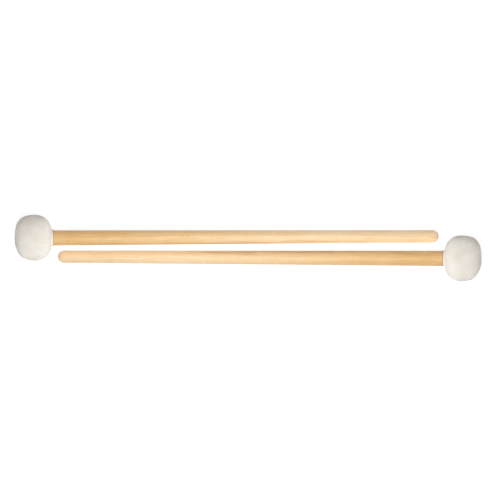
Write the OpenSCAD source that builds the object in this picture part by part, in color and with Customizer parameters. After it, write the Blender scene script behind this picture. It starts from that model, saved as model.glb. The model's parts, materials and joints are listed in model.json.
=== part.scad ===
// A matched pair of timpani mallets: tapered maple shafts with round heads of gathered felt.
// The two lie side by side, head to tail, each resting on its head and on its rounded butt.
// Millimetres, +Z up, +X along the pair. The origin is on the resting surface, mid-way between the mallets.
// Each mallet is drawn standing on its own axis, butt down, with height 0 where the felt meets the wood.

/* [Shaft] */
// Length of the bare shaft, from the end of its butt to the edge of the felt
shaft_len = 337.3; // [300:0.1:360]
// Diameter beside the head, where the shaft is thickest
neck_d = 13.2; // [12.5:0.1:14]
// Diameter of the straight grip and of the rounded butt
grip_d = 10.8; // [9:0.1:12]
// Length of the straight grip, without its rounded end
grip_len = 24; // [20:1:60]
// Diameter of the tenon that carries the core
tenon_d = 9; // [7:0.5:11]

/* [Felt head] */
// Diameter of the head at its widest
head_d = 40.2; // [40:0.1:42]
// Length of the head along the shaft, collar and all
head_len = 33.7; // [33:0.1:35]
// Distance from the edge of the felt to the widest section
widest_at = 17.4; // [16:0.1:17.8]
// Squareness of the half of the head nearer the shaft, where 2 is an ellipse
neck_power = 2.45; // [2.1:0.05:2.5]
// Squareness of the half of the head nearer the tip
tip_power = 2.5; // [2.5:0.05:3]
// Thickness of the outer felt
felt_t = 4; // [3.5:0.1:4]
// Thickness of the collar of felt that hugs the shaft
collar_t = 0.8; // [0.5:0.1:1.2]
// How far the collar reaches beyond the head's round outline
collar_len = 1; // [0.8:0.1:1.4]
// Thickness of the felt pad at each end of the core
pad_t = 3.2; // [3.2:0.1:4]
// Diameter of the turned wooden core
core_d = 21; // [18:0.5:21]

/* [Screw and thread] */
// Diameter of the wood screw
screw_d = 3; // [2.5:0.1:3.5]
// Length of the wood screw, over its head
screw_len = 22; // [18:1:26]
// Diameter of the screw's raised countersunk head
screw_head_d = 5.5; // [5:0.1:6]
// Diameter of the cup washer under the screw's head
washer_d = 7.6; // [7.2:0.1:9]
// How far the cup washer sits below the tip of the felt
washer_sunk = 1.6; // [1:0.1:1.6]
// Diameter of the draw thread that gathers the felt
thread_d = 0.5; // [0.4:0.05:0.7]
// Depth of the groove round the shaft that the neck thread lies in
groove_depth = 0.35; // [0.2:0.05:0.5]

/* [Layout] */
// Distance between the two shafts' centre lines
spacing = 18; // [16:0.1:40]
// Gap along the shafts between one mallet's felt and the other's butt
head_gap = 2.9; // [2:0.1:20]

/* [Hidden] */
$fn = 96;

// Segments in each stretch of the head's outline
outline_steps = 12;
// Radial room between the screw and the felt, and between the washer and the felt
hole_play = 0.1;
washer_play = 0.05;
// Rounding of the collar's edge
collar_round = 0.3;
// Bevel on the core's two edges
core_bevel = 1;
// Thickness of the cup washer's sheet metal
sheet_t = 0.4;
// Height of the raised dome on the screw's head, and its slot
screw_dome = 0.45;
slot_w = 0.7;
slot_depth = 0.7;
// Length of the screw's point, and how much deeper than the screw its hole is
point_len = 3;
hole_spare = 0.4;

head_r = head_d / 2;
neck_r = neck_d / 2;
grip_r = grip_d / 2;
core_r = core_d / 2;
screw_r = screw_d / 2;
washer_r = washer_d / 2;
thread_r = thread_d / 2;
hole_r = screw_r + hole_play;
groove_r = neck_r - groove_depth;
groove_w = thread_d;

// Heights on a mallet's own axis
butt_at = grip_r - shaft_len;
taper_at = butt_at + grip_len;
core_from = collar_len + felt_t + pad_t;
core_to = head_len - felt_t - pad_t;
seat_at = head_len - washer_sunk;

// The cup washer's 90 degree cone starts hole_r out at its foot, and the screw's head fills it
washer_h = screw_head_d / 2 - hole_r + hole_play;
head_top = screw_head_d / 2 - hole_r;
screw_end = seat_at + head_top + screw_dome - screw_len;

// A mallet lies on the widest section of its head and on its butt
lay_angle = asin((head_r - grip_r) / (widest_at - butt_at));
butt_x = (-butt_at * cos(lay_angle) - grip_r - head_gap) / 2;

// One point [radius, height] of the head's outline, drawn in by inset all round.
// Angle 0 is the pole at the tip, 90 the widest section and 180 the pole at the shaft.
function outline(angle, inset) =
    let (
        side = angle <= 90 ? 1 : -1,
        power = 2 / (side > 0 ? tip_power : neck_power),
        reach = (side > 0 ? head_len - widest_at : widest_at - collar_len) - inset
    )
    [
        (head_r - inset) * pow(sin(angle), power),
        widest_at + side * reach * pow(abs(cos(angle)), power)
    ];

// Angles at which that outline has a given radius, towards the tip and towards the shaft
function tip_angle(radius, inset) = asin(pow(radius / (head_r - inset), tip_power / 2));
function neck_angle(radius, inset) = 180 - asin(pow(radius / (head_r - inset), neck_power / 2));

// Angle at which it has a given height
function height_angle(height, inset) =
    height > widest_at
    ? acos(pow((height - widest_at) / (head_len - widest_at - inset), tip_power / 2))
    : 180 - acos(pow((widest_at - height) / (widest_at - collar_len - inset), neck_power / 2));

// The outline's points between two angles, both included
function stretch(from, to, inset) =
    [for (i = [0 : outline_steps]) outline(from + (to - from) * i / outline_steps, inset)];

// A list of points without its first
function after_first(points) = [for (i = [1 : len(points) - 1]) points[i]];

// The inner felt's outline in three stretches, from the shaft to the tip
neck_stretch = stretch(neck_angle(neck_r, felt_t), height_angle(core_from, felt_t), felt_t);
liner_stretch = stretch(height_angle(core_from, felt_t), height_angle(core_to, felt_t), felt_t);
tip_stretch = stretch(height_angle(core_to, felt_t), tip_angle(hole_r, felt_t), felt_t);

// Turned hard maple: rounded butt, straight grip, long taper, and a tenon inside the head
module shaft()
    color([0.93, 0.77, 0.53])
    difference() {
        union() {
            translate([0, 0, butt_at])
                sphere(r = grip_r);
            translate([0, 0, butt_at])
                cylinder(h = grip_len, r = grip_r);
            translate([0, 0, taper_at])
                cylinder(h = -taper_at, r1 = grip_r, r2 = neck_r);
            cylinder(h = core_from, r = neck_r);
            translate([0, 0, core_from])
                cylinder(h = core_to - core_from, d = tenon_d);
        }
        translate([0, 0, screw_end - hole_spare])
            cylinder(h = core_to - screw_end + 2 * hole_spare, r = screw_r);
        translate([0, 0, -groove_w])
            difference() {
                cylinder(h = groove_w, r = neck_r + groove_depth);
                cylinder(h = groove_w, r = groove_r);
            }
    }

// Turned wooden barrel, glued on the tenon against the shaft's shoulder
module core()
    color([0.80, 0.62, 0.40])
    rotate_extrude()
    polygon([
        [tenon_d / 2, core_from],
        [core_r - core_bevel, core_from],
        [core_r, core_from + core_bevel],
        [core_r, core_to - core_bevel],
        [core_r - core_bevel, core_to],
        [tenon_d / 2, core_to]
    ]);

// Strip of hard felt wrapped round the core
module liner()
    color([0.86, 0.84, 0.78])
    rotate_extrude()
    polygon(concat([[core_r, core_to], [core_r, core_from]], liner_stretch));

// Felt ring on the shaft, behind the core
module neck_pad()
    color([0.84, 0.82, 0.76])
    rotate_extrude()
    polygon(concat([[neck_r, core_from]], neck_stretch));

// Felt disc on the end of the core
module tip_pad()
    color([0.84, 0.82, 0.76])
    rotate_extrude()
    polygon(concat([[hole_r, core_to]], tip_stretch));

// Soft outer felt, gathered at the neck and at the tip
module cover()
    color([0.93, 0.92, 0.88])
    rotate_extrude()
    polygon(concat(
        stretch(tip_angle(washer_r + washer_play, 0), 90, 0),
        after_first(stretch(90, neck_angle(neck_r + collar_t, 0), 0)),
        [
            [neck_r + collar_t, collar_round],
            [neck_r + collar_t - collar_round, 0],
            [neck_r, 0]
        ],
        neck_stretch,
        after_first(liner_stretch),
        after_first(tip_stretch),
        [
            [hole_r, seat_at],
            [hole_r + thread_r, seat_at],
            [hole_r + thread_r, seat_at - thread_d],
            [hole_r + thread_r + thread_d, seat_at - thread_d],
            [hole_r + thread_r + thread_d, seat_at],
            [washer_r + washer_play, seat_at]
        ]
    ));

// Draw thread tied round the shaft in its groove, against the mouth of the cover
module neck_thread()
    color([0.62, 0.47, 0.30])
    rotate_extrude()
    translate([groove_r + thread_r, thread_r - groove_w])
    circle(r = thread_r);

// Draw thread that closes the tip of the cover, in a groove under the washer
module tip_thread()
    color([0.62, 0.47, 0.30])
    rotate_extrude()
    translate([hole_r + thread_d, seat_at - thread_r])
    circle(r = thread_r);

// Pressed cup washer, sunk in the gathered felt
module cup_washer()
    color([0.62, 0.62, 0.64])
    translate([0, 0, seat_at])
    rotate_extrude()
    polygon([
        [hole_r + sheet_t / 4, sheet_t / 4],
        [hole_r + washer_h, washer_h],
        [washer_r - sheet_t, washer_h - sheet_t / 4],
        [washer_r, sheet_t / 2],
        [washer_r, 0],
        [washer_r - sheet_t, 0],
        [hole_r + washer_h, washer_h - sheet_t],
        [hole_r + sheet_t, sheet_t / 4]
    ]);

// Slotted wood screw with a raised countersunk head, driven into the tenon's end
module screw()
    color([0.70, 0.70, 0.72])
    difference() {
        rotate_extrude()
            polygon(concat(
                [
                    [0, screw_end],
                    [screw_r, screw_end + point_len],
                    [screw_r, seat_at - hole_play],
                    [screw_head_d / 2, seat_at + head_top]
                ],
                [
                    for (angle = [15 : 15 : 90])
                        [screw_head_d / 2 * cos(angle), seat_at + head_top + screw_dome * sin(angle)]
                ]
            ));
        translate([-slot_w / 2, -screw_head_d / 2, seat_at + head_top + screw_dome - slot_depth])
            cube([slot_w, screw_head_d, 2 * slot_depth]);
    }

// Lays a mallet down on the -Y side, with its head towards +X
module right()
    translate([-butt_x, -spacing / 2, grip_r])
    rotate([0, 90 - lay_angle, 0])
    translate([0, 0, -butt_at])
    children();

// The left mallet is the same one, turned half round
module left()
    rotate([0, 0, 180])
    right()
    children();

left() shaft();  // left_shaft
left() core();  // left_core
left() liner();  // left_liner
left() neck_pad();  // left_neck_pad
left() tip_pad();  // left_tip_pad
left() cover();  // left_cover
left() neck_thread();  // left_neck_thread
left() tip_thread();  // left_tip_thread
left() cup_washer();  // left_cup_washer
left() screw();  // left_screw
right() shaft();  // right_shaft
right() core();  // right_core
right() liner();  // right_liner
right() neck_pad();  // right_neck_pad
right() tip_pad();  // right_tip_pad
right() cover();  // right_cover
right() neck_thread();  // right_neck_thread
right() tip_thread();  // right_tip_thread
right() cup_washer();  // right_cup_washer
right() screw();  // right_screw
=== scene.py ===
"""A pair of timpani mallets: felt, wood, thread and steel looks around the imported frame."""
import json
import math
import random

import bpy
import numpy as np
from mathutils import Matrix, Vector, noise


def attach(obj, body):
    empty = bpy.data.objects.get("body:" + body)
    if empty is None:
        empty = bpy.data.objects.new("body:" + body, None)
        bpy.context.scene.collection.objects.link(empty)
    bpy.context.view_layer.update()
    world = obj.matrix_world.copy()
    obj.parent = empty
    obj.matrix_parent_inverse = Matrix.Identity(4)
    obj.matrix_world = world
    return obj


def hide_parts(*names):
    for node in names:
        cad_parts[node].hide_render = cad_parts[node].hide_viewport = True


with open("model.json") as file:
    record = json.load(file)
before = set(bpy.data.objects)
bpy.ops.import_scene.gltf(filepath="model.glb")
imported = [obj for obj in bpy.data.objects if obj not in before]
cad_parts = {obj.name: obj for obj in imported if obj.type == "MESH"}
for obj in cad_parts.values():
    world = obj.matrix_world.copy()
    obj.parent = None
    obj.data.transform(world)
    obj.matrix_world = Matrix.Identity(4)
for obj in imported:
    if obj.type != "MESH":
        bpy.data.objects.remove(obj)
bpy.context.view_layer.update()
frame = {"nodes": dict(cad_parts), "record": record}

MM = 0.001
SIDES = ("left", "right")


# ---------------------------------------------------------------- places, read from the frame

class Mallet:
    """One mallet's own space, in metres.

    z runs along its axis, from the felt's edge at the neck to the tip, and y points up."""

    def __init__(self, side, seed):
        self.side = side
        self.body = side + "_mallet"
        self.seed = seed
        grip = next(m for m in frame["record"]["mounts"] if m["name"] == side + "_grip")
        along = -Vector(grip["axis"]).normalized()
        across = Vector((0, 0, 1)).cross(along).normalized()
        turn = Matrix((across, along.cross(across), along)).transposed()
        start = Vector(grip["pos_m"])
        lowest = min((v.co - start).dot(along) for v in self.node("cover").data.vertices)
        self.matrix = Matrix.Translation(start + along * lowest) @ turn.to_4x4()

    def node(self, piece):
        """A CAD node of this mallet, as a Blender object."""
        return frame["nodes"][f"{self.side}_{piece}"]

    def span(self, piece):
        """The lowest height, highest height and largest radius of a CAD piece."""
        local = self.local_points(piece)
        return local[:, 1].min(), local[:, 1].max(), local[:, 0].max()

    def local_points(self, piece):
        """[radius, height] of each vertex of a CAD piece."""
        back = np.array(self.matrix.inverted())
        co = np.array([v.co for v in self.node(piece).data.vertices])
        co = co @ back[:3, :3].T + back[:3, 3]
        return np.stack([np.hypot(co[:, 0], co[:, 1]), co[:, 2]], axis=1)

    def section(self, piece):
        """The corners of the [radius, height] outline that a turned CAD piece sweeps.

        They run anticlockwise from the lowest and innermost one."""
        same_ring = 0.005 * MM
        rings, ring_of = [], []
        for p in self.local_points(piece):
            near = [i for i, r in enumerate(rings) if abs(r[0] - p[0]) + abs(r[1] - p[1]) < same_ring]
            if not near:
                near = [len(rings)]
                rings.append(p)
            ring_of.append(near[0])
        beside = {i: set() for i in range(len(rings))}
        for edge in self.node(piece).data.edges:
            a, b = (ring_of[v] for v in edge.vertices)
            if a != b:
                beside[a].add(b)
                beside[b].add(a)
        order = [0, min(beside[0])]
        while len(order) < len(rings):
            order.append(next(i for i in beside[order[-1]] if i != order[-2]))
        loop = corners_of(np.array([rings[i] for i in order]))
        if area(loop) < 0:
            loop = loop[::-1]
        return np.roll(loop, -int(np.argmin(loop.sum(axis=1))), axis=0)


# ---------------------------------------------------------------- outlines and meshes

def corners_of(loop):
    """A closed loop without the points that lie on a straight line between their neighbours."""
    before, after = loop - np.roll(loop, 1, axis=0), np.roll(loop, -1, axis=0) - loop
    turn = before[:, 0] * after[:, 1] - before[:, 1] * after[:, 0]
    sine = np.abs(turn) / (np.linalg.norm(before, axis=1) * np.linalg.norm(after, axis=1))
    least_turn = 0.005
    return loop[sine > least_turn]


def area(loop):
    """The area inside a closed loop of [radius, height] points, above 0 if it runs anticlockwise."""
    x, y = loop[:, 0], loop[:, 1]
    return np.sum(x * np.roll(y, -1) - np.roll(x, -1) * y) / 2


def rounded(loop, passes):
    """A closed loop with its corners cut off, again and again, so that it curves."""
    for _ in range(passes):
        after = np.roll(loop, -1, axis=0)
        loop = np.stack([0.75 * loop + 0.25 * after, 0.25 * loop + 0.75 * after], axis=1).reshape(-1, 2)
    return loop


def evenly(loop, spacing):
    """Points along a closed loop, spacing(point) apart."""
    closed = np.vstack([loop, loop[:1]])
    steps = np.linalg.norm(np.diff(closed, axis=0), axis=1)
    middle = (closed[1:] + closed[:-1]) / 2
    wanted = np.concatenate([[0], np.cumsum(steps / np.array([spacing(p) for p in middle]))])
    marks = np.linspace(0, wanted[-1], int(round(wanted[-1])) + 1)[:-1]
    return np.stack([np.interp(marks, wanted, closed[:, i]) for i in (0, 1)], axis=1)


def loop_normals(loop):
    """Unit normals of an anticlockwise loop of [radius, height] points, pointing out of its area."""
    tangent = np.roll(loop, -1, axis=0) - np.roll(loop, 1, axis=0)
    normal = np.stack([tangent[:, 1], -tangent[:, 0]], axis=1)
    return normal / np.linalg.norm(normal, axis=1)[:, None]


def full_turn(count):
    """This many angles, evenly spaced over one turn."""
    return np.arange(count) * 2 * math.pi / count


def swept(loop, segments, push):
    """Points [ring, segment, xyz] of a loop swept round the axis. push(angles, ring) moves them out."""
    angles = full_turn(segments)
    rings = []
    for i, (point, normal) in enumerate(zip(loop, loop_normals(loop))):
        out = push(angles, i)
        radius, height = point[0] + normal[0] * out, point[1] + normal[1] * out
        rings.append(np.stack([radius * np.cos(angles), radius * np.sin(angles), height], axis=1))
    return np.array(rings)


def grid_faces(rings, segments):
    """Faces of a grid of points that closes on itself both ways."""
    at = np.arange(rings * segments).reshape(rings, segments)
    down, on = np.roll(at, -1, axis=0), np.roll(at, -1, axis=1)
    return np.stack([at, on, np.roll(down, -1, axis=1), down], axis=2).reshape(-1, 4)


def mesh_piece(name, mallet, points, faces):
    """A smooth mesh object from points in the mallet's own space, placed where the mallet lies."""
    matrix = np.array(mallet.matrix)
    return mesh_object(name, np.asarray(points) @ matrix[:3, :3].T + matrix[:3, 3], faces)


def mesh_object(name, points, faces):
    """A smooth mesh object from points in the frame's own space, which is where it stays."""
    mesh = bpy.data.meshes.new(name)
    mesh.from_pydata(points.tolist(), [], [list(map(int, f)) for f in faces])
    mesh.polygons.foreach_set("use_smooth", [True] * len(mesh.polygons))
    mesh.update()
    piece = bpy.data.objects.new(name, mesh)
    bpy.context.scene.collection.objects.link(piece)
    return piece


def lumps(points, size, offset):
    """Smooth noise from about -1 to 1 at each point, with features of a given size in metres."""
    return np.array([noise.noise(Vector(p) / size + offset) for p in points])


def ramp(x, low, high):
    """0 below low and 1 above high, with a smooth step between."""
    t = np.clip((x - low) / (high - low), 0, 1)
    return t * t * (3 - 2 * t)


def apart(angles, place):
    """The angle between each of these angles and a place, from 0 to pi."""
    return np.abs((angles - place + math.pi) % (2 * math.pi) - math.pi)


# ---------------------------------------------------------------- materials

class Shader:
    """A material's node tree, filled node by node. space is a place in the mallet's own space, in mm."""

    def __init__(self, name, mallet=None):
        self.material = bpy.data.materials.new(name)
        self.material.use_nodes = True
        self.tree = self.material.node_tree
        self.tree.nodes.clear()
        if mallet:
            seen = self.add("ShaderNodeTexCoord").outputs["Object"]
            self.space = self.add(
                "ShaderNodeMapping",
                {
                    "Vector": seen,
                    "Location": mallet.matrix.to_translation(),
                    "Rotation": mallet.matrix.to_euler(),
                    "Scale": (MM, MM, MM),
                },
                vector_type="TEXTURE",
            ).outputs[0]

    def add(self, kind, inputs=None, **settings):
        """A new node. inputs holds a value, or the socket to link, for each input that is set."""
        node = self.tree.nodes.new(kind)
        for key, value in settings.items():
            setattr(node, key, value)
        for key, value in (inputs or {}).items():
            if isinstance(value, bpy.types.NodeSocket):
                self.tree.links.new(value, node.inputs[key])
            else:
                node.inputs[key].default_value = value
        return node

    def radius(self):
        """The distance from the mallet's axis."""
        return self.vector("LENGTH", self.vector("MULTIPLY", self.space, (1, 1, 0)), output=1)

    def height(self):
        """The height along the mallet's axis."""
        return self.add("ShaderNodeSeparateXYZ", {0: self.space}).outputs[2]

    def stretched(self, scale, shift=(0, 0, 0)):
        """The place, multiplied by scale and shifted, so that patterns on it stretch and differ."""
        return self.add(
            "ShaderNodeMapping", {"Vector": self.space, "Scale": scale, "Location": shift}
        ).outputs[0]

    def noise(self, vector, scale, detail=3.0, roughness=0.5, distortion=0.0):
        return self.add(
            "ShaderNodeTexNoise",
            {
                "Vector": vector,
                "Scale": scale,
                "Detail": detail,
                "Roughness": roughness,
                "Distortion": distortion,
            },
        ).outputs["Fac"]

    def ranged(self, value, low, high, to_low=0.0, to_high=1.0, smooth=False):
        """The value with the range from low to high spread over to_low to to_high, and clamped."""
        return self.add(
            "ShaderNodeMapRange",
            {"Value": value, "From Min": low, "From Max": high, "To Min": to_low, "To Max": to_high},
            interpolation_type="SMOOTHSTEP" if smooth else "LINEAR",
        ).outputs[0]

    def math(self, operation, a, b=0.0):
        return self.add("ShaderNodeMath", {0: a, 1: b}, operation=operation).outputs[0]

    def vector(self, operation, a, b=None, output=0):
        inputs = {0: a} if b is None else {0: a, 1: b}
        return self.add("ShaderNodeVectorMath", inputs, operation=operation).outputs[output]

    def mixed(self, share, a, b, blend="MIX"):
        """Colour a with colour b over it, by share."""
        return self.add(
            "ShaderNodeMix", {0: share, 6: a, 7: b}, data_type="RGBA", blend_type=blend
        ).outputs[2]

    def strands(self, scale, seed, width, bend):
        """Thin curved lines, where a bent noise passes through its middle value."""
        place = self.stretched((1, 1, 1), seed)
        drift = self.add("ShaderNodeTexNoise", {"Vector": place, "Scale": scale * 0.45}).outputs["Color"]
        bent = self.vector("ADD", place, self.vector("MULTIPLY", drift, (bend, bend, bend)))
        off = self.math("ABSOLUTE", self.math("SUBTRACT", self.noise(bent, scale, 1.0), 0.5))
        return self.ranged(off, 0.0, width, 1.0, 0.0, smooth=True)

    def bumped(self, height, distance, strength=1.0, under=None):
        """A normal bumped by this height, on top of an earlier one if under is given."""
        inputs = {"Height": height, "Distance": distance, "Strength": strength}
        if under is not None:
            inputs["Normal"] = under
        return self.add("ShaderNodeBump", inputs).outputs[0]

    def finished(self, inputs):
        """Ends the tree in a principled surface with these inputs, and returns the material."""
        surface = self.add("ShaderNodeBsdfPrincipled", inputs)
        self.add("ShaderNodeOutputMaterial", {"Surface": surface.outputs[0]})
        return self.material


def from_srgb(red, green, blue):
    """A screen colour, 0 to 255, as a linear colour."""
    def linear(level):
        level /= 255
        return level / 12.92 if level <= 0.04045 else ((level + 0.055) / 1.055) ** 2.4
    return (linear(red), linear(green), linear(blue), 1.0)


def maple(mallet):
    """Satin-lacquered hard maple, creamy at the butt and deeper in colour towards the head."""
    s = Shader(f"{mallet.side}_maple", mallet)
    butt = mallet.span("shaft")[0] / MM
    height = s.height()
    toward_head = s.ranged(height, butt * 0.75, 0, smooth=True)
    tone = s.mixed(toward_head, from_srgb(251, 227, 188), from_srgb(234, 196, 137))

    # Growth rings about a pith well outside the stick, wavering along its length
    waver = s.noise(s.stretched((0.12, 0.12, 0.012), (mallet.seed, 0, 0)), 1.0, 2)
    flat = s.vector("MULTIPLY", s.stretched((1, 1, 0.01), (21, 9 + mallet.seed % 5, 0)), (1, 1, 0))
    ring_at = s.math("ADD", s.vector("LENGTH", flat, output=1), s.math("MULTIPLY", waver, 7.0))
    rings = s.add(
        "ShaderNodeTexNoise",
        {"W": s.math("MULTIPLY", ring_at, 0.75), "Scale": 1.0, "Detail": 2.0},
        noise_dimensions="1D",
    ).outputs["Fac"]
    late = s.ranged(rings, 0.42, 0.72, smooth=True)
    tone = s.mixed(s.math("MULTIPLY", late, 0.26), tone, from_srgb(214, 170, 116), "MULTIPLY")

    # Fine fibres, short ray flecks and slow clouds of colour
    fibres = s.noise(s.stretched((1, 1, 0.03)), 3.4, 4, 0.6)
    tone = s.mixed(s.ranged(fibres, 0.35, 0.75, 0, 0.30), tone, from_srgb(222, 186, 138), "MULTIPLY")
    flecks = s.noise(s.stretched((1, 1, 0.16), (3, 1, mallet.seed)), 2.4, 3, 0.55)
    tone = s.mixed(s.ranged(flecks, 0.60, 0.74, 0, 0.45), tone, from_srgb(178, 130, 82), "MULTIPLY")
    clouds = s.noise(s.stretched((0.16, 0.16, 0.05), (0, mallet.seed, 0)), 1.0, 3)
    tone = s.mixed(s.ranged(clouds, 0.35, 0.7, 0, 0.30), tone, from_srgb(246, 218, 178), "MULTIPLY")

    # The end grain of the rounded butt is darker and open
    pores = s.noise(s.stretched((1, 1, 0.5), (5, mallet.seed, 0)), 5.0, 2)
    grain = s.mixed(s.ranged(pores, 0.45, 0.7), from_srgb(236, 206, 162), from_srgb(198, 154, 104))
    end = s.ranged(height, butt + 3.0, butt + 0.4, 0.0, 0.4, smooth=True)
    tone = s.mixed(end, tone, grain, "MULTIPLY")

    return s.finished({
        "Base Color": tone,
        "Roughness": s.ranged(fibres, 0.3, 0.7, 0.54, 0.68),
        "Normal": s.bumped(fibres, 0.03 * MM, 0.5),
        "Coat Weight": 0.10,
        "Coat Roughness": 0.45,
        "Specular IOR Level": 0.45,
    })


def turned_wood(mallet):
    """Bare turned wood of the core, with tool rings and open end grain."""
    s = Shader(f"{mallet.side}_core_wood", mallet)
    grain = s.noise(s.stretched((1, 0.25, 0.08), (mallet.seed, 4, 0)), 1.6, 4, 0.6)
    tone = s.mixed(s.ranged(grain, 0.3, 0.7), from_srgb(214, 178, 130), from_srgb(176, 132, 86))
    pores = s.noise(s.stretched((1, 1, 0.3)), 6.0, 2)
    tone = s.mixed(s.ranged(pores, 0.6, 0.75, 0, 0.5), tone, from_srgb(120, 84, 52), "MULTIPLY")
    lines = s.add(
        "ShaderNodeTexWave",
        {"Vector": s.space, "Scale": 0.5, "Distortion": 0.6, "Detail": 2.0},
        bands_direction="Z",
    ).outputs["Fac"]
    return s.finished({
        "Base Color": tone,
        "Roughness": s.ranged(grain, 0.3, 0.7, 0.6, 0.8),
        "Normal": s.bumped(lines, 0.04 * MM, 0.5),
    })


def felt(name, mallet, light, shade, matting, nap):
    """Pressed wool: soft clumps, fine curled fibres lying every way over each other, and a soft sheen.

    matting and nap are the heights of its clumps and of its fibres."""
    s = Shader(f"{mallet.side}_{name}", mallet)
    wool = s.stretched((1, 1, 1), (mallet.seed, 0, -mallet.seed))
    clouds = s.noise(wool, 0.12, 3, 0.55)
    clumps = s.noise(wool, 0.55, 5, 0.7, 1.2)
    grit = s.noise(wool, 4.0, 4, 0.7)
    coarse = s.strands(scale=0.8, seed=(mallet.seed, 3, 1), width=0.045, bend=2.0)
    middle = s.strands(scale=1.5, seed=(2, mallet.seed, 7), width=0.05, bend=1.4)
    fine = s.strands(scale=2.8, seed=(5, 1, mallet.seed), width=0.06, bend=0.9)
    mat = s.math("MAXIMUM", s.math("MULTIPLY", coarse, 0.8), s.math("MAXIMUM", middle, fine))
    dark = tuple(0.6 * c for c in shade[:3]) + (1,)
    tone = s.mixed(s.ranged(clouds, 0.35, 0.68), light, shade)
    tone = s.mixed(s.ranged(clumps, 0.45, 0.72, 0, 0.9), tone, shade)
    tone = s.mixed(s.ranged(mat, 0.0, 0.9, 0.20, 0.0), tone, dark)
    tone = s.mixed(s.ranged(grit, 0.50, 0.75, 0, 0.16), tone, dark)
    # Painted shade of the gathered hollow, with some grime from handling, where the tip is drawn in round
    # the washer
    radius, height = s.radius(), s.height()
    tip = mallet.span("cover")[1] / MM
    near_axis = s.ranged(radius, 7.5, 3.5, smooth=True)
    near_washer = s.math("MULTIPLY", near_axis, s.ranged(height, tip - 6, tip - 2))
    painted_shade_and_grime = s.math("MULTIPLY", near_washer, s.ranged(clumps, 0.3, 0.7, 0.35, 0.6))
    # Darkens the felt round the washer: painted shade of the hollow there, together with some grime
    tone = s.mixed(painted_shade_and_grime, tone, from_srgb(150, 148, 144), "MULTIPLY")

    relief = s.bumped(clumps, matting, 0.7)
    relief = s.bumped(mat, nap, 0.7, relief)
    relief = s.bumped(grit, nap * 0.6, 0.6, relief)
    return s.finished({
        "Base Color": tone,
        "Roughness": 0.96,
        "Diffuse Roughness": 0.5,
        "Specular IOR Level": 0.12,
        "Normal": relief,
        "Sheen Weight": 0.25,
        "Sheen Roughness": 0.55,
        "Sheen Tint": (1.0, 0.98, 0.94, 1.0),
    })


def thread_and_painted_shadow_line(mallet):
    """Natural waxed linen, a little darker than the wood, with hairs and slubs. Its dark tone also paints
    the shadow line where the felt meets the wood.
    """
    s = Shader(f"{mallet.side}_thread_and_painted_shadow_line", mallet)
    hairs = s.noise(s.stretched((1, 1, 1)), 5.0, 4, 0.6)
    slubs = s.noise(s.stretched((1, 1, 1), (mallet.seed, 0, 0)), 0.5, 2)
    tone = s.mixed(s.ranged(hairs, 0.3, 0.7), from_srgb(186, 148, 102), from_srgb(140, 104, 66))
    tone = s.mixed(s.ranged(slubs, 0.45, 0.7, 0, 0.5), tone, from_srgb(200, 168, 124), "MULTIPLY")
    return s.finished({
        "Base Color": tone,
        "Roughness": s.ranged(hairs, 0.3, 0.7, 0.45, 0.65),
        "Normal": s.bumped(hairs, 0.03 * MM, 0.5),
        "Sheen Weight": 0.1,
    })


def nickel(name, mallet, dark, light, brushing):
    """Nickel-plated steel with dull patches, and turning marks round the axis that brushing packs closer."""
    s = Shader(f"{mallet.side}_{name}", mallet)
    turned = s.add(
        "ShaderNodeCombineXYZ", {0: s.math("MULTIPLY", s.radius(), brushing), 2: s.height()}
    ).outputs[0]
    marks = s.noise(turned, 2.0, 4, 0.7)
    dulled = s.noise(s.stretched((1, 1, 1), (mallet.seed, 2, 0)), 0.9, 4, 0.6)
    tone = s.mixed(s.ranged(dulled, 0.35, 0.7), light, dark)
    rough = s.math("ADD", s.ranged(marks, 0.3, 0.7, 0.0, 0.12), s.ranged(dulled, 0.35, 0.7, 0.22, 0.4))
    return s.finished({
        "Base Color": tone,
        "Metallic": 1.0,
        "Roughness": rough,
        "Normal": s.bumped(marks, 0.02 * MM, 0.6),
    })


def give(piece, material):
    """Makes this the only material of a piece."""
    piece.data.materials.clear()
    piece.data.materials.append(material)
    for polygon in piece.data.polygons:
        polygon.material_index = 0


# ---------------------------------------------------------------- felt pieces

class Gather:
    """Creases where a draw thread pulls the felt in: places round the axis, with a depth and a length."""

    # Half the width of a crease at the gathered edge, and how fast it grows along the surface
    narrowest = 0.36 * MM
    widening = 0.09

    def __init__(self, count, depth, length, seed):
        draw = random.Random(seed)
        step = 2 * math.pi / count
        self.creases = [
            (
                (i + draw.uniform(-0.28, 0.28)) * step,
                depth * draw.uniform(0.5, 1.2),
                length * draw.uniform(0.45, 1.25),
            )
            for i in range(count)
        ]

    def depth_at(self, angles, radius, away):
        """How deep the creases are, this far along the surface from the gathered edge."""
        total = np.zeros(len(angles))
        for place, depth, length in self.creases:
            if 0 < away < length:
                fade = 0.5 + 0.5 * math.cos(math.pi * away / length)
                width = self.narrowest + self.widening * away
                total += depth * fade * np.exp(-((apart(angles, place) * radius / width) ** 2))
        return total


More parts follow.
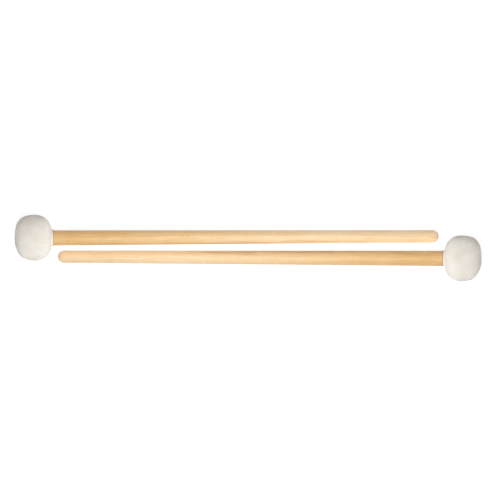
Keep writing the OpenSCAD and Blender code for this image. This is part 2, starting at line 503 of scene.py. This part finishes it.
def inflated(points, pinned, most):
    """A closed grid of felt, [ring, segment, xyz], blown up by a cloth simulation about its pinned points.

    The simulation runs on a copy 20 times as big, where the solver's usual settings hold. No point moves by
    more than most."""
    rings, segments, _ = points.shape
    grow = 20
    last_frame = 20
    blank = mesh_object("felt_blank", points.reshape(-1, 3) * grow, grid_faces(rings, segments))
    group = blank.vertex_groups.new(name="pin")
    for index, weight in enumerate(pinned.reshape(-1)):
        group.add([index], float(weight), "REPLACE")
    settings = blank.modifiers.new("cloth", "CLOTH").settings
    settings.quality = 6
    settings.mass = 0.3
    settings.tension_stiffness = 15
    settings.compression_stiffness = 15
    settings.shear_stiffness = 5
    settings.bending_stiffness = 0.5
    settings.use_pressure = True
    settings.uniform_pressure_force = 60
    settings.vertex_group_mass = "pin"
    settings.effector_weights.gravity = 0
    scene = bpy.context.scene
    for number in range(1, last_frame + 1):
        scene.frame_set(number)
    seen = blank.evaluated_get(bpy.context.evaluated_depsgraph_get())
    step = np.array([v.co for v in seen.data.vertices]).reshape(points.shape) / grow - points
    scene.frame_set(1)
    bpy.data.objects.remove(blank, do_unlink=True)
    size = np.maximum(np.linalg.norm(step, axis=2, keepdims=True), 1e-9)
    return points + step / size * most * np.tanh(size / most)


def cover_outline(mallet):
    """The cover's closed outline, from its mouth at the tip down the inside and back up the outside."""
    corners = mallet.section("cover")
    tip = corners[:, 1].max()
    inner_r = mallet.span("liner")[2]

    def spacing(point):
        """Close at the collar, medium where the felt is seen or turns, and wide on the hidden inside."""
        radius, height = point
        if height < 2.5 * MM:
            return 0.4 * MM
        seen = radius > inner_r or height > tip - 3 * MM or height < 5 * MM
        return 0.85 * MM if seen else 2.2 * MM

    loop = evenly(rounded(evenly(corners, lambda point: 0.5 * MM), 2), spacing)
    mouth = corners[np.argmax(corners[:, 1])]
    return np.roll(loop, -int(np.argmin(np.linalg.norm(loop - mouth, axis=1))), axis=0)


def make_cover(mallet):
    """The soft outer felt: a thick shell drawn into creases at the tip and at the neck.

    Its rings run from the mouth at the tip down the inside to the mouth at the neck, and up the outside."""
    loop = cover_outline(mallet)
    neck_mouth = int(np.argmin(loop[:, 1] + loop[:, 0]))
    steps = np.linalg.norm(np.roll(loop, -1, axis=0) - loop, axis=1)
    from_tip = np.cumsum(steps[::-1])[::-1]
    from_neck = from_tip[neck_mouth] - from_tip
    collar = 2.0 * MM
    draw_in, neck_rise = 0.62 * MM, 0.05 * MM
    widest = loop[np.argmax(loop[:, 0]), 1]
    tip_gather = Gather(count=15, depth=0.90 * MM, length=11 * MM, seed=mallet.seed)
    neck_gather = Gather(count=17, depth=0.38 * MM, length=8 * MM, seed=mallet.seed + 3)

    def creases(angles, ring):
        """How deep the creases of both ends are on this ring."""
        if ring <= neck_mouth:
            return np.zeros(len(angles))
        above = from_neck[ring] - collar
        neck = neck_gather.depth_at(angles, loop[ring, 0], above) * ramp(above, 0, 1.0 * MM)
        return neck + tip_gather.depth_at(angles, loop[ring, 0], from_tip[ring])

    def push(angles, ring):
        """Sinks the creases, and draws the outside in a little towards the tip, with room to swell."""
        free = min(from_tip[ring], from_neck[ring] - collar)
        inset = draw_in * ramp(loop[ring, 1], widest - 9 * MM, widest + 9 * MM) - neck_rise
        return -creases(angles, ring) - inset * ramp(free, 1 * MM, 5 * MM) * (ring > neck_mouth)

    def hold(angles, ring):
        """How firmly the cloth is pinned on this ring: fully inside, at both mouths and in deep creases."""
        if ring <= neck_mouth:
            return np.ones(len(angles))
        free = min(from_tip[ring] / 3, from_neck[ring] - collar)
        return np.clip(1 - free / (2.5 * MM) + creases(angles, ring) / (0.5 * MM), 0, 1)

    segments = 120
    points = swept(loop, segments, push)
    pinned = np.array([hold(full_turn(segments), ring) for ring in range(len(loop))])
    points = inflated(points, pinned, most=0.6 * MM)
    name = mallet.side + "_felt_cover"
    piece = mesh_piece(name, mallet, points.reshape(-1, 3), grid_faces(len(loop), segments))
    subdivide(piece)
    work_by_hand(mallet, piece)
    cream, warm_grey = from_srgb(248, 246, 240), from_srgb(239, 233, 224)
    give(piece, felt("cover_felt", mallet, cream, warm_grey, matting=0.34 * MM, nap=0.14 * MM))
    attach(piece, mallet.body)
    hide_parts(mallet.side + "_cover")
    return piece


def subdivide(piece):
    """One level of smooth subdivision, applied."""
    modifier = piece.modifiers.new("smooth", "SUBSURF")
    modifier.levels = modifier.render_levels = 1
    seen = piece.evaluated_get(bpy.context.evaluated_depsgraph_get())
    coarse, piece.data = piece.data, bpy.data.meshes.new_from_object(seen)
    piece.modifiers.clear()
    bpy.data.meshes.remove(coarse)


def vertex_values(mesh, key):
    """The xyz of this property at each vertex."""
    values = np.empty(len(mesh.vertices) * 3)
    mesh.vertices.foreach_get(key, values)
    return values.reshape(-1, 3)


def work_by_hand(mallet, piece):
    """Moves the outside of a cover as handwork leaves it.

    It gets soft lumps, a slight lean towards the back of the table, a tip that is fuller on that side, and
    a butt seam below."""
    mesh = piece.data
    co = vertex_values(mesh, "co")
    normal = vertex_values(mesh, "normal")
    back = np.array(mallet.matrix.inverted())
    local, facing = co @ back[:3, :3].T + back[:3, 3], normal @ back[:3, :3].T
    radius, height = np.hypot(local[:, 0], local[:, 1]), local[:, 2]
    angle = np.arctan2(local[:, 1], local[:, 0])
    middle = height[np.argmax(radius)]
    tip = height.max()

    # 1 on the outside of the felt, falling to 0 inside it, by the washer and on the collar
    outward = (facing[:, :2] * local[:, :2]).sum(axis=1) / radius
    endward = facing[:, 2] * np.sign(height - middle)
    outside = ramp(np.maximum(outward, endward), 0.0, 0.4)
    outside *= np.where(height > middle, ramp(radius, 4.4 * MM, 11 * MM), ramp(height, 1.5 * MM, 4 * MM))

    big = lumps(local, 11 * MM, Vector((mallet.seed, 3, 1))) * 0.20 * MM
    small = lumps(local, 2.6 * MM, Vector((7, mallet.seed, 5))) * 0.05 * MM
    lean = 0.22 * MM
    toward_back = np.maximum(local[:, 0] * mallet.matrix[1][0], 0)
    fuller = 0.052 * toward_back * ramp(height, middle, tip - 6 * MM)
    seam_depth, seam_half_width = 0.60 * MM, 0.6 * MM
    from_seam = apart(angle, -math.pi / 2) * radius
    seam = -seam_depth * np.exp(-((from_seam / seam_half_width) ** 2)) * ramp(radius, 8.5 * MM, 11 * MM)
    co += normal * ((big + small + seam) * outside)[:, None]
    co += np.array([0, 1, 0]) * (lean * outside)[:, None]
    co += np.array(mallet.matrix)[:3, 2] * (fuller * outside)[:, None]
    mesh.vertices.foreach_set("co", co.reshape(-1))
    mesh.update()


def make_inner_felt(mallet, node, name, segments, ripple):
    """A hard felt piece inside the head, with pressed faces that are a little uneven."""
    loop = evenly(rounded(mallet.section(node), 2), lambda point: 0.7 * MM)

    def push(angles, ring):
        """Lumps that sink below the CAD face more than they stand out from it."""
        radius, height = loop[ring]
        level = np.full(len(angles), height)
        points = np.stack([radius * np.cos(angles), radius * np.sin(angles), level], axis=1)
        return (lumps(points, 3 * MM, Vector((mallet.seed, 1, 9))) - 0.6) * ripple

    points = swept(loop, segments, push).reshape(-1, 3)
    piece = mesh_piece(f"{mallet.side}_{name}", mallet, points, grid_faces(len(loop), segments))
    oatmeal, dull_oatmeal = from_srgb(226, 221, 206), from_srgb(205, 198, 180)
    give(piece, felt(name, mallet, oatmeal, dull_oatmeal, matting=0.12 * MM, nap=0.08 * MM))
    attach(piece, mallet.body)
    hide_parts(f"{mallet.side}_{node}")
    return piece


# ---------------------------------------------------------------- thread

def across_path(path, out):
    """Two unit directions across a closed path at each of its points. The first lies nearest to out."""
    tangent = np.roll(path, -1, axis=0) - np.roll(path, 1, axis=0)
    tangent /= np.linalg.norm(tangent, axis=1)[:, None]
    first = out - np.sum(out * tangent, axis=1)[:, None] * tangent
    first /= np.linalg.norm(first, axis=1)[:, None]
    return first, np.cross(tangent, first)


def tube(path, radius, out, sides=8):
    """Points and faces of a closed tube along a closed path."""
    first, second = across_path(path, out)
    turn = full_turn(sides)[None, :, None]
    around = np.cos(turn) * first[:, None, :] + np.sin(turn) * second[:, None, :]
    return (path[:, None, :] + radius * around).reshape(-1, 3), grid_faces(len(path), sides)


def joined(parts):
    """Points and faces of several meshes as one."""
    starts = np.cumsum([0] + [len(points) for points, _ in parts])
    faces = [made + start for (_, made), start in zip(parts, starts)]
    return np.concatenate([points for points, _ in parts]), np.concatenate(faces)


def twisted(path, radius, ply_turn):
    """Two plies twisted round each other along a closed path about the axis, one turn every ply_turn."""
    out = path * [1, 1, 0]
    first, second = across_path(path, out)
    steps = np.linalg.norm(np.roll(path, -1, axis=0) - path, axis=1)
    share = (np.cumsum(steps) - steps) / steps.sum()
    turns = round(steps.sum() / ply_turn)
    off_centre, ply_radius = 0.46 * radius, 0.54 * radius
    plies = []
    for phase in (0, math.pi):
        turn = (phase + 2 * math.pi * turns * share)[:, None]
        swing = np.cos(turn) * first + np.sin(turn) * second
        plies.append(tube(path + off_centre * swing, ply_radius, out))
    return plies


def knot(centre, out, along, size, thickness):
    """A small overhand knot: a tube along a trefoil that lies across the direction out."""
    t = full_turn(80)[:, None]
    side = np.cross(along, out)
    flat = (np.sin(t) + 2 * np.sin(2 * t)) * side + (np.cos(t) - 2 * np.cos(2 * t)) * along
    path = centre + (flat - np.sin(3 * t) * out) * size / 3
    return tube(path, thickness / 2, np.tile(out + 0.2 * side, (len(path), 1)))


def make_thread(mallet, node):
    """A draw thread of two twisted plies, lying in its CAD ring. The neck's is knotted underneath."""
    low, high, reach = mallet.span(node)
    thick = high - low
    ring = reach - thick / 2
    angle = full_turn(480)
    wander = 0.03 * thick * np.sin(3 * angle + mallet.seed)
    path = np.stack([ring * np.cos(angle), ring * np.sin(angle), (low + high) / 2 + wander], axis=1)
    parts = twisted(path, radius=thick / 2, ply_turn=1.25 * MM)
    if node == "neck_thread":
        down, along = np.array([0, -1.0, 0]), np.array([0, 0, 1.0])
        centre = down * reach + along * (low + high) / 2
        parts.append(knot(centre, down, along, size=0.55 * MM, thickness=0.32 * MM))
    piece = mesh_piece(f"{mallet.side}_{node.replace('thread', 'draw_thread')}", mallet, *joined(parts))
    # The neck thread's darker linen also paints the shadow line where the felt meets the wood
    give(piece, thread_and_painted_shadow_line(mallet))
    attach(piece, mallet.body)
    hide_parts(f"{mallet.side}_{node}")


# ---------------------------------------------------------------- room

def make_room():
    """A white table, a soft light over the pair's middle, and weaker lights in front and at both ends."""
    half = 3.0
    corners = [(-half, -half, 0), (half, -half, 0), (half, half, 0), (-half, half, 0)]
    table = bpy.data.meshes.new("table")
    table.from_pydata(corners, [], [(0, 1, 2, 3)])
    floor = bpy.data.objects.new("table", table)
    bpy.context.scene.collection.objects.link(floor)
    s = Shader("table_white")
    s.finished({
        "Base Color": (0.2, 0.2, 0.2, 1),
        "Roughness": 0.9,
        "Emission Color": (1, 1, 1, 1),
        "Emission Strength": 0.88,
    })
    table.materials.append(s.material)

    world = bpy.data.worlds.new("room")
    world.use_nodes = True
    background = world.node_tree.nodes["Background"]
    background.inputs["Color"].default_value = (1, 0.94, 0.84, 1)
    background.inputs["Strength"].default_value = 0.12
    bpy.context.scene.world = world
    make_light("softbox", Vector((0, -0.07, 0.55)), (0.45, 0.26), energy=3.15, color=(1.0, 0.99, 0.98))
    make_light("fill", Vector((0, -1.0, 0.30)), (0.9, 0.4), energy=0.16, color=(0.25, 0.55, 1.0))
    for side, x in zip(SIDES, (-1.1, 1.1)):
        make_light(side + "_fill", Vector((x, 0.1, 0.25)), (0.5, 0.3), energy=2.1, color=(1.0, 0.98, 0.96))


def make_light(name, place, size, energy, color):
    """A soft rectangular light of this size and power, turned to the middle of the table."""
    lamp = bpy.data.lights.new(name, "AREA")
    lamp.shape = "RECTANGLE"
    lamp.size, lamp.size_y = size
    lamp.energy = energy
    lamp.color = color
    light = bpy.data.objects.new(name, lamp)
    bpy.context.scene.collection.objects.link(light)
    light.matrix_world = Matrix.Translation(place) @ (-place).to_track_quat("-Z", "Y").to_matrix().to_4x4()


def make_camera():
    """A long lens almost straight above, leaning past the upright towards +Y."""
    lean = math.radians(6.08)
    distance = 2.6
    frame_width = 0.4376
    data = bpy.data.cameras.new("camera")
    data.sensor_width = 36
    data.lens = data.sensor_width * distance / frame_width
    data.clip_end = 20
    camera = bpy.data.objects.new("camera", data)
    bpy.context.scene.collection.objects.link(camera)
    target = Vector((0.00154, -0.00238, 0.012))
    back = Vector((0, math.sin(lean), math.cos(lean)))
    up = Vector((0, math.cos(lean), -math.sin(lean)))
    turn = Matrix((up.cross(back), up, back)).transposed()
    camera.matrix_world = Matrix.Translation(target + back * distance) @ turn.to_4x4()
    bpy.context.scene.camera = camera


def make_mallet(mallet):
    """Gives the hard CAD pieces their materials, and makes the felt and the threads."""
    dull_grey, silver = from_srgb(150, 148, 146), from_srgb(196, 195, 192)
    worn_silver, bright_silver = from_srgb(168, 166, 163), from_srgb(208, 207, 204)
    give(mallet.node("shaft"), maple(mallet))
    give(mallet.node("core"), turned_wood(mallet))
    give(mallet.node("cup_washer"), nickel("washer_nickel", mallet, dull_grey, silver, brushing=6.0))
    give(mallet.node("screw"), nickel("screw_nickel", mallet, worn_silver, bright_silver, brushing=3.0))
    liner = make_inner_felt(mallet, "liner", "felt_liner", segments=160, ripple=0.10 * MM)
    make_inner_felt(mallet, "neck_pad", "felt_neck_pad", segments=128, ripple=0.08 * MM)
    make_inner_felt(mallet, "tip_pad", "felt_tip_pad", segments=128, ripple=0.08 * MM)
    cover = make_cover(mallet)
    make_thread(mallet, "neck_thread")
    make_thread(mallet, "tip_thread")


make_camera()
make_room()
bpy.context.scene.view_settings.view_transform = "Standard"
for number, side in enumerate(SIDES):
    make_mallet(Mallet(side, seed=11 + 20 * number))
